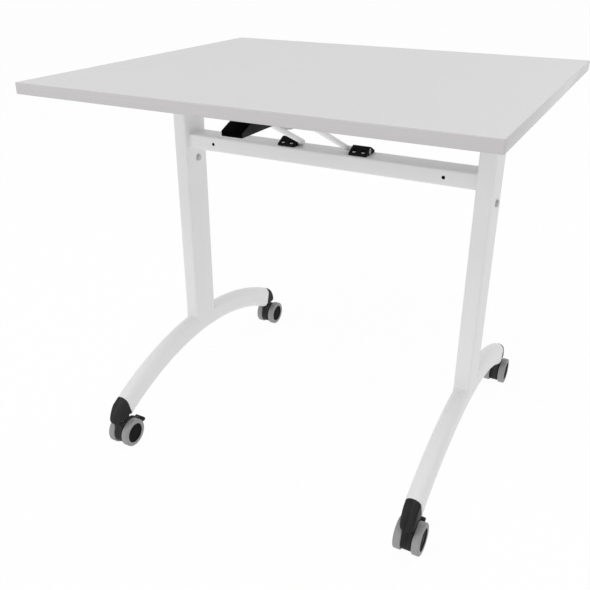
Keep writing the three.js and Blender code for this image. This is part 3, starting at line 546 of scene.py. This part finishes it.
def foot_bead(sign, end):
    """Across the foot's round back, against an upright's front or rear face."""
    stations = []
    corner = FOOT_WIDTH / 2 - FOOT_ROUND
    slope = UPRIGHT_FRONT / FOOT_RADIUS
    for step in range(1, FOOT_STATIONS):
        turn = math.pi * step / FOOT_STATIONS
        across = (corner + FOOT_ROUND) * math.cos(turn)
        rise = FOOT_HEIGHT / 2 - FOOT_ROUND + FOOT_ROUND * math.sin(turn)
        height = FOOT_CREST - FOOT_RADIUS + math.sqrt((FOOT_RADIUS + rise) ** 2 - UPRIGHT_FRONT ** 2)
        point = Vector((sign * LEG_X + across, end * UPRIGHT_FRONT, height))
        along = Vector((0, end, -slope)) * FOOT_LEG * math.sin(turn)
        stations.append((point, Vector((0, 0, FOOT_LEG)), along))
    return weld_bead(stations, False)


for side, sign in SIDES.items():
    publish(f"beam_weld_{side}", beam_bead(sign), "coating", "frame")
    for end, way in ENDS.items():
        publish(f"foot_weld_{end}_{side}", foot_bead(sign, way), "coating", "frame")

# %% [markdown]
# ## Bent tube stay
# The stay is one length of 10 mm tube bent into a bail: two journals that turn in the pillow blocks, two
# arms and a crossbar. Its bends are the point, so the tube's ring is drawn out along each straight and
# spun round each bend, just as a tube bender works. The journals end just inside the blocks.

# %% Stay
STAY_X, STAY_END_X, STAY_LENGTH, STAY_BEND = 45.5, 90, 230, 9
STAY_OUTER, STAY_BORE = 5.0, 3.5
PIVOT = Vector((0, 0, 603.5))
STAY_RISE = math.radians(25.7)
BEND_STEPS = 10


def bent_tube(radius):
    """Surface of a tube along the stay's centre line, open at both ends."""
    bm = bmesh.new()
    right = Vector((1, 0, 0))
    up = Vector((0, -math.cos(STAY_RISE), math.sin(STAY_RISE)))
    ring = bmesh.ops.create_circle(bm, segments=24, radius=radius, cap_ends=False)["verts"]
    bmesh.ops.rotate(bm, cent=(0, 0, 0), matrix=Matrix.Rotation(math.pi / 2, 3, "Y"), verts=ring)
    bmesh.ops.translate(bm, vec=PIVOT - right * STAY_END_X, verts=ring)
    front = bm.edges[:]
    place = PIVOT - right * STAY_END_X
    runs = [(right, STAY_END_X - STAY_X), (up, STAY_LENGTH), (right, 2 * STAY_X), (-up, STAY_LENGTH),
            (right, STAY_END_X - STAY_X)]
    for i, (way, length) in enumerate(runs):
        bends = (i > 0) + (i < len(runs) - 1)
        straight = way * (length - bends * STAY_BEND)
        made = bmesh.ops.extrude_edge_only(bm, edges=front)["geom"]
        verts = [g for g in made if isinstance(g, bmesh.types.BMVert)]
        bmesh.ops.translate(bm, vec=straight, verts=verts)
        place = place + straight
        front = [g for g in made if isinstance(g, bmesh.types.BMEdge) and
                 all(v in verts for v in g.verts)]
        if i == len(runs) - 1:
            break
        out = runs[i + 1][0]
        axis = way.cross(out)
        centre = place + out * STAY_BEND
        made = bmesh.ops.spin(bm, geom=front, cent=centre, axis=axis, angle=math.pi / 2,
                              steps=BEND_STEPS, use_merge=False, use_duplicate=False)["geom_last"]
        front = [g for g in made if isinstance(g, bmesh.types.BMEdge)]
        place = centre + way * STAY_BEND
    return bm


stay = bent_tube(STAY_OUTER)
take_in(stay, bent_tube(STAY_BORE))
rims = [e for e in stay.edges if e.is_boundary]
for sign in SIDES.values():
    end = [e for e in rims if e.verts[0].co.x * sign > 0]
    bmesh.ops.triangle_fill(stay, edges=end, use_beauty=True, normal=(sign, 0, 0))
bmesh.ops.recalc_face_normals(stay, faces=stay.faces)
publish("bent_tube_stay", stay, "coating", "stay", ["stay"])

# %% [markdown]
# ## Moulded and pressed pieces
# The toe caps, castor bodies, pillow blocks, pedals and lever are mouldings, and the brackets are bent
# plate. Their solids have the right forms with square edges, and no real moulding has a square edge. On
# the brackets, the pivot heads, the castor bodies and the lever a bevel on a merged copy takes the edge
# off. Blender keeps a bevel from overlapping, so a copy's shortest edge sets how wide it can be: the hinge
# brackets get the width asked for, most others less, and the latch bracket and the front castors hardly
# any. The castors' round bodies get finer facets first. The lever's front corners are planed round, and
# every face of it that doesn't face sideways is painted a deeper black than its textured sides, as painted
# shade. The toe caps, blocks and pedals are curved all over, and a bevel can't run along their many short
# edges. So these are rebuilt on a fine grid and smoothed a few times, which rounds every edge alike, just
# as a polished mould does.

# %% Rounded copies
def round_nose(bm, radius, steps=6):
    """Plane a lever's two front corners round in plan, facet by facet."""
    reach = max(v.co.x for v in bm.verts)
    tip = min(v.co.y for v in bm.verts)
    for sign in SIDES.values():
        centre = Vector((sign * (reach - radius), tip + radius, 0))
        for step in range(steps):
            turn = math.pi / 2 * (step + 0.5) / steps
            way = Vector((sign * math.cos(turn), -math.sin(turn), 0))
            made = bmesh.ops.bisect_plane(bm, geom=bm.verts[:] + bm.edges[:] + bm.faces[:], dist=0.001,
                                          plane_co=centre + way * radius, plane_no=way, clear_outer=True)
            rim = [g for g in made["geom_cut"] if isinstance(g, bmesh.types.BMEdge)]
            bmesh.ops.contextual_create(bm, geom=rim)
    bmesh.ops.recalc_face_normals(bm, faces=bm.faces)


def soften(bm, least=math.radians(4), most=math.radians(35)):
    """Split a curved face's facets in three, so that its outline reads as a curve."""
    edges = [e for e in bm.edges if e.is_manifold and least < e.calc_face_angle() < most]
    bmesh.ops.bevel(bm, geom=edges, offset=33, offset_type="PERCENT", segments=2, profile=0.5,
                    affect="EDGES", clamp_overlap=True, material=-1)


SMOOTHING = 0.5


def melted(bm, voxel, passes):
    """Rebuild a moulding on a fine grid and smooth it, so that its facets and edges turn round."""
    mesh = bpy.data.meshes.new("scratch")
    bm.to_mesh(mesh)
    bm.free()
    scratch = bpy.data.objects.new("scratch", mesh)
    bpy.context.scene.collection.objects.link(scratch)
    grid = scratch.modifiers.new("grid", "REMESH")
    grid.mode = "VOXEL"
    grid.voxel_size = voxel
    soft = scratch.modifiers.new("soft", "SMOOTH")
    soft.factor = SMOOTHING
    soft.iterations = passes
    depsgraph = bpy.context.evaluated_depsgraph_get()
    result = bpy.data.meshes.new_from_object(scratch.evaluated_get(depsgraph))
    bm = bmesh.new()
    bm.from_mesh(result)
    bpy.data.objects.remove(scratch)
    bpy.data.meshes.remove(mesh)
    bpy.data.meshes.remove(result)
    return bm


NOSE_RADIUS = 5
# A face of the lever is a side where its normal points this much along X.
SIDEWAYS = 0.9
OTHER_BLACKS = {"release_lever": [painted_shade_nylon, plastic], "pillow_block_left": [matt_plastic],
                "pillow_block_right": [matt_plastic]}
corners = [f"{end}_{side}" for end in ENDS for side in SIDES]
# Solid, piece, body, and the widest that its bevel may be.
rounded = [("release_lever", "release_lever_grip", "lever", 1.2),
           ("latch_bracket", "latch_plate", "top", 0.3)]
# Solid, piece, body, the grid's spacing, and the passes of smoothing.
melts = []
for side in SIDES:
    rounded.append((f"pivot_head_{side}", f"pivot_block_{side}", "frame", 0.8))
    rounded.append((f"hinge_bracket_{side}", f"hinge_plate_{side}", "top", 0.3))
    melts.append((f"pillow_block_{side}", f"pillow_housing_{side}", "frame", 0.6, 3))
    pedal = f"front_{side}"
    melts.append((f"brake_pedal_{pedal}", f"brake_tread_{pedal}", f"pedal_{pedal}", 0.5, 6))
for corner in corners:
    rounded.append((f"castor_body_{corner}", f"castor_housing_{corner}", f"castor_{corner}", 0.6))
    melts.append((f"toe_cap_{corner}", f"toe_moulding_{corner}", "frame", 0.8, 6))
for node, name, body, voxel, passes in melts:
    moulding = melted(copy_of(node), voxel, passes)
    publish(name, moulding, "plastic", body, [node], OTHER_BLACKS.get(node, ()))
for node, name, body, width in rounded:
    bm = copy_of(node)
    if node.startswith("castor_body"):
        soften(bm)
    if node == "release_lever":
        round_nose(bm, NOSE_RADIUS)
        # Faces that don't face sideways take the deep black as painted shade, and the sides take the satin
        # black.
        for face in bm.faces:
            face.material_index = int(abs(face.normal.x) > SIDEWAYS)
    round_off(bm, width)
    publish(name, bm, slot_of[node], body, [node], OTHER_BLACKS.get(node, ()))

# %% [markdown]
# ## Wheels
# Each castor has two wheels: a nylon hub with a soft tyre. Both are turned forms, so each is a profile
# that is spun about the axle. The tyre's section is a rectangle with rounded shoulders. The hub's face has
# a raised rim, a shallow dish and a flat boss, and its back has a blind bore for the axle.

# %% Tyres and hubs
WHEEL_WIDTH, WHEEL_OFFSET = 13.6, 16.6
HUB_RADIUS, HUB_RECESS, HUB_GAP = 20.5, 0.6, 0.1
SHOULDER = 2.2
AXLE_Z, AXLE_BORE, BORE_DEPTH = 28.752, 3.4, 3.9
STEM_Y, TRAIL = 299, 15
WHEEL_STEPS = 64


def spun(bm, edges):
    """Spin profile edges right round the X axis and close the seam."""
    verts = list({v for e in edges for v in e.verts})
    bmesh.ops.spin(bm, geom=verts + edges, cent=(0, 0, 0), axis=(1, 0, 0), angle=2 * math.pi,
                   steps=WHEEL_STEPS, use_merge=True, use_duplicate=False)
    bmesh.ops.remove_doubles(bm, verts=bm.verts, dist=0.001)
    bmesh.ops.recalc_face_normals(bm, faces=bm.faces)


def profile_edges(bm, points):
    """A chain of edges through [radius, place along the axle] points."""
    verts = [bm.verts.new((along, 0, radius)) for radius, along in points]
    return [bm.edges.new(pair) for pair in zip(verts, verts[1:])]


def tyre():
    """A ring whose two outer shoulders are rounded."""
    bm = bmesh.new()
    depth = AXLE_Z - HUB_RADIUS
    made = bmesh.ops.create_grid(bm, x_segments=1, y_segments=1, size=0.5)["verts"]
    bmesh.ops.scale(bm, vec=(WHEEL_WIDTH, depth, 1), verts=made)
    bmesh.ops.rotate(bm, cent=(0, 0, 0), matrix=Matrix.Rotation(math.pi / 2, 3, "X"), verts=made)
    bmesh.ops.translate(bm, vec=(0, 0, HUB_RADIUS + depth / 2), verts=made)
    shoulders = [v for v in made if v.co.z > HUB_RADIUS + depth / 2]
    bmesh.ops.bevel(bm, geom=shoulders, offset=SHOULDER, segments=6, profile=0.5, affect="VERTICES",
                    clamp_overlap=True, material=-1)
    bmesh.ops.delete(bm, geom=bm.faces[:], context="FACES_ONLY")
    spun(bm, bm.edges[:])
    return bm


def hub(outward):
    """A dished disc with its boss on the outward side and the axle's bore on the other."""
    face = WHEEL_WIDTH / 2 - HUB_RECESS
    rim = HUB_RADIUS - HUB_GAP
    bm = bmesh.new()
    edges = profile_edges(bm, [
        (0, BORE_DEPTH), (AXLE_BORE, BORE_DEPTH), (AXLE_BORE, -face), (rim, -face), (rim, face - 0.5),
        (rim - 0.5, face), (rim - 1.8, face), (rim - 2.6, face - 0.9), (rim - 6, face - 1.5),
        (9.5, face - 1.5), (8.6, face - 0.9), (0, face - 0.7)])
    spun(bm, edges)
    if outward < 0:
        bmesh.ops.rotate(bm, cent=(0, 0, 0), matrix=Matrix.Rotation(math.pi, 3, "Z"), verts=bm.verts)
    return bm


for end, end_sign in ENDS.items():
    for side, side_sign in SIDES.items():
        for wheel, outward in (("a", -1), ("b", 1)):
            corner = f"{end}_{side}_{wheel}"
            place = (side_sign * LEG_X + outward * WHEEL_OFFSET, end_sign * STEM_Y + TRAIL, AXLE_Z)
            turned_forms = [("tyre_ring", tyre(), "tyre", "tyre", rubber),
                            ("wheel_hub", hub(outward), "plastic", "hub", matt_plastic)]
            for word, bm, slot, node, finish in turned_forms:
                bmesh.ops.translate(bm, vec=place, verts=bm.verts)
                publish(f"{word}_{corner}", bm, slot, f"wheel_{corner}", [f"{node}_{corner}"], [finish])

# %% [markdown]
# ## Pins and stems
# The hinge pins, the lever's pin and the castors' stems are turned from bar, so each is a profile spun
# about its axis, like the wheels. Their ends are chamfered so that they go in easily. A stem's flange is
# what a castor carries its load on, and it shows as a bright line between the castor and the toe cap.

# %% Pins and stems
PIN_HEAD = [(5, 20.3), (8, 20.3), (8, 22.3), (7.6, 22.9), (6.8, 23.3), (0, 23.3)]
HINGE_PIN = [(0, -23.3), (4, -23.3), (5, -22.3), *PIN_HEAD]
LEVER_PIN = [(0, -25.5), (2, -25.5), (3, -24.5), (3, 24.5), (2, 25.5), (0, 25.5)]
STEM = [(0, 40), (3, 40), (4, 41), (4, 61.3), (7.4, 61.3), (8, 61.9), (8, 64.1), (7.4, 64.7),
        (4, 64.7), (4, 93), (3, 94), (0, 94)]
UPWARD = Matrix.Rotation(-math.pi / 2, 3, "Y")
HINGE_Y, HINGE_Z = 10, 690
LEVER_PIN_PLACE = (0, -228, 702)


def turned(points, place):
    """A profile of [radius, place along the axis] points, spun about X and put in its place."""
    bm = bmesh.new()
    spun(bm, profile_edges(bm, points))
    bmesh.ops.translate(bm, vec=place, verts=bm.verts)
    return bm


for side, sign in SIDES.items():
    pin = turned(HINGE_PIN, (sign * LEG_X, HINGE_Y, HINGE_Z))
    publish(f"turned_hinge_pin_{side}", pin, "steel", "frame", [f"hinge_pin_{side}"])
    for end, end_sign in ENDS.items():
        stem = turned(STEM, (0, 0, 0))
        bmesh.ops.rotate(stem, cent=(0, 0, 0), matrix=UPWARD, verts=stem.verts)
        bmesh.ops.translate(stem, vec=(sign * LEG_X, end_sign * STEM_Y, 0), verts=stem.verts)
        corner = f"{end}_{side}"
        publish(f"flanged_stem_{corner}", stem, "steel", f"castor_{corner}", [f"castor_stem_{corner}"])
publish("turned_lever_pin", turned(LEVER_PIN, LEVER_PIN_PLACE), "steel", "top", ["lever_pin"])

# %% [markdown]
# ## Screws and bolts
# The blocks are screwed to the beam, and the brackets to the underside of the top. A pan head is a
# shallow turned dome with a recess for the driver. The heads are small, so a circle that is extruded,
# bevelled and inset for a hexagon recess is enough. The bolt through each upright shows a plain dome at
# each end, which is the same head, only larger and without the recess, on a plain shank. A head's size is
# its diameter and its height.

# %% Screws and bolts
def sink_hexagon(bm, flats, depth):
    """Sink a hexagon recess into the top face of a head."""
    crown = max(bm.faces, key=lambda face: face.calc_center_median().z)
    bmesh.ops.inset_region(bm, faces=[crown], thickness=flats / 4)
    for vert in crown.verts:
        turn = math.atan2(vert.co.y, vert.co.x) % (math.pi / 3) - math.pi / 6
        reach = flats / 2 / math.cos(turn) / vert.co.xy.length
        vert.co.x *= reach
        vert.co.y *= reach
    made = bmesh.ops.extrude_discrete_faces(bm, faces=[crown])["faces"]
    bmesh.ops.translate(bm, vec=(0, 0, -depth), verts=made[0].verts)


def pan_head(diameter, height, place, way=(0, 0, 1), driven=True):
    """A screw's head that stands on a place and faces a way, with or without a driver's recess."""
    bm = bmesh.new()
    bmesh.ops.create_circle(bm, segments=24, radius=diameter / 2, cap_ends=True)
    raise_faces(bm, bm.faces[:], height)
    rim = [e for e in bm.edges if min(v.co.z for v in e.verts) > height - 0.01]
    bmesh.ops.bevel(bm, geom=rim, offset=height * 0.6, segments=4, profile=0.5, affect="EDGES",
                    clamp_overlap=True, material=-1)
    if driven:
        sink_hexagon(bm, diameter * 0.4, height * 0.55)
    turn = Vector((0, 0, 1)).rotation_difference(Vector(way)).to_matrix()
    bmesh.ops.rotate(bm, cent=(0, 0, 0), matrix=turn, verts=bm.verts)
    bmesh.ops.translate(bm, vec=place, verts=bm.verts)
    return bm


BOLT_Y, BOLT_Z, BOLT_SEAT, SHANK_RADIUS = 4, 541, 15.3, 4
BOLT_HEAD = (13, 4)


def cross_bolt(x):
    """A shank through an upright, with a plain dome at each end."""
    bm = bmesh.new()
    shank = Matrix.Translation((x, BOLT_Y, BOLT_Z)) @ Matrix.Rotation(math.pi / 2, 4, "Y")
    bmesh.ops.create_cone(bm, cap_ends=True, segments=24, radius1=SHANK_RADIUS, radius2=SHANK_RADIUS,
                          depth=2 * BOLT_SEAT, matrix=shank)
    for way in SIDES.values():
        seat = (x + way * BOLT_SEAT, BOLT_Y, BOLT_Z)
        take_in(bm, pan_head(*BOLT_HEAD, seat, (way, 0, 0), driven=False))
    return bm


DOWN = (0, 0, -1)
FOUR_CORNERS = [(-1, -1), (1, -1), (-1, 1), (1, 1)]
BLOCK_SCREW, PLATE_SCREW = (8.4, 3.4), (9, 3)
BLOCK_X, POCKET_X, POCKET_Y, POCKET_FLOOR = 73.5, 8.75, 13.5, 600.3
HINGE_PLATE_Y, HINGE_HOLE_X, HINGE_HOLE_Y, HINGE_PLATE_UNDER = -2, 24, 46, 717.7
LATCH_PLATE_Y, LATCH_HOLE_X, LATCH_HOLE_Y, LATCH_PLATE_UNDER = -172, 13, 40, 718.2
for side, sign in SIDES.items():
    for i, (along, across) in enumerate(FOUR_CORNERS):
        place = (sign * BLOCK_X + along * POCKET_X, across * POCKET_Y, POCKET_FLOOR)
        publish(f"block_screw_{side}_{i + 1}", pan_head(*BLOCK_SCREW, place), "steel", "frame")
        place = (sign * LEG_X + along * HINGE_HOLE_X, HINGE_PLATE_Y + across * HINGE_HOLE_Y,
                 HINGE_PLATE_UNDER)
        publish(f"hinge_screw_{side}_{i + 1}", pan_head(*PLATE_SCREW, place, DOWN), "steel", "top")
    bolt = cross_bolt(sign * LEG_X)
    publish(f"dome_bolt_{side}", bolt, "steel", "frame", [f"cross_bolt_{side}"], [dull_steel])
for i, (along, across) in enumerate(FOUR_CORNERS):
    place = (along * LATCH_HOLE_X, LATCH_PLATE_Y + across * LATCH_HOLE_Y, LATCH_PLATE_UNDER)
    publish(f"latch_screw_{i + 1}", pan_head(*PLATE_SCREW, place, DOWN), "steel", "top")

# %% [markdown]
# ## Floor and light
# The table stands on a plain white sweep, so the floor and the world are white to the camera and in
# reflections. The floor keeps part of its own shading, which leaves a faint shadow under the castors, and
# it throws light back up as a lit white sweep does. Three soft lamps do the rest: a large one in front
# and above, one behind that lightens the beam and the feet's crowns, and a small low one on the left.

# %% Floor and light
def seen_plainly(owner):
    """One for rays from the camera, a reflection or glass, and nought for rays that only carry light."""
    path = add_node(owner, "ShaderNodeLightPath").outputs
    seen = add_node(owner, "ShaderNodeMath", {0: path["Is Camera Ray"], 1: path["Is Glossy Ray"]},
                    operation="MAXIMUM")
    seen = add_node(owner, "ShaderNodeMath", {0: seen.outputs[0], 1: path["Is Transmission Ray"]},
                    operation="MAXIMUM")
    return seen.outputs[0]


FLOOR_GLOW, FLOOR_WHITE = 0.9, 0.96
FLOOR_SIZE = 60
floor_paint = start_material("studio_floor")
seen = seen_plainly(floor_paint)
matt = add_node(floor_paint, "ShaderNodeBsdfDiffuse", {"Color": linear("F4F4F4")})
glow = add_node(floor_paint, "ShaderNodeEmission", {"Color": linear("FFFFFF"), "Strength": 1.0})
share = add_node(floor_paint, "ShaderNodeMapRange", {
    "Value": seen, "To Min": FLOOR_GLOW, "To Max": FLOOR_WHITE})
mixed = add_node(floor_paint, "ShaderNodeMixShader", {
    0: share.outputs["Result"], 1: matt.outputs["BSDF"], 2: glow.outputs["Emission"]})
add_node(floor_paint, "ShaderNodeOutputMaterial", {"Surface": mixed.outputs["Shader"]})
floor_mesh = bpy.data.meshes.new("floor")
sheet = bmesh.new()
bmesh.ops.create_grid(sheet, x_segments=1, y_segments=1, size=FLOOR_SIZE)
sheet.to_mesh(floor_mesh)
sheet.free()
floor_mesh.materials.append(floor_paint)
floor = bpy.data.objects.new("floor", floor_mesh)
bpy.context.scene.collection.objects.link(floor)

SKY = 0.64
world = bpy.data.worlds.new("studio")
bpy.context.scene.world = world
world.use_nodes = True
world.node_tree.nodes.clear()
seen = seen_plainly(world)
level = add_node(world, "ShaderNodeMapRange", {"Value": seen, "To Min": SKY, "To Max": 1.0})
sky = add_node(world, "ShaderNodeBackground", {
    "Color": linear("FFFFFF"), "Strength": level.outputs["Result"]})
add_node(world, "ShaderNodeOutputWorld", {"Surface": sky.outputs["Background"]})

AIM = Vector((0, 0, 0.5))
LAMP_DISTANCE = 4.5
# Name, direction from the table, width in metres, and watts.
LAMPS = [("front_softbox", (0.0, -0.55, 0.82), 3.0, 58), ("rear_softbox", (0.1, 0.65, 0.75), 2.5, 28),
         ("low_softbox", (-0.55, -0.75, 0.33), 0.9, 14)]
for name, way, size, power in LAMPS:
    lamp_data = bpy.data.lights.new(name, "AREA")
    lamp_data.shape = "DISK"
    lamp_data.size = size
    lamp_data.energy = power
    lamp = bpy.data.objects.new(name, lamp_data)
    lamp.location = AIM + Vector(way).normalized() * LAMP_DISTANCE
    lamp.rotation_euler = (lamp.location - AIM).to_track_quat("Z", "Y").to_euler()
    bpy.context.scene.collection.objects.link(lamp)
    print(name, "at", [round(v, 2) for v in lamp.location])
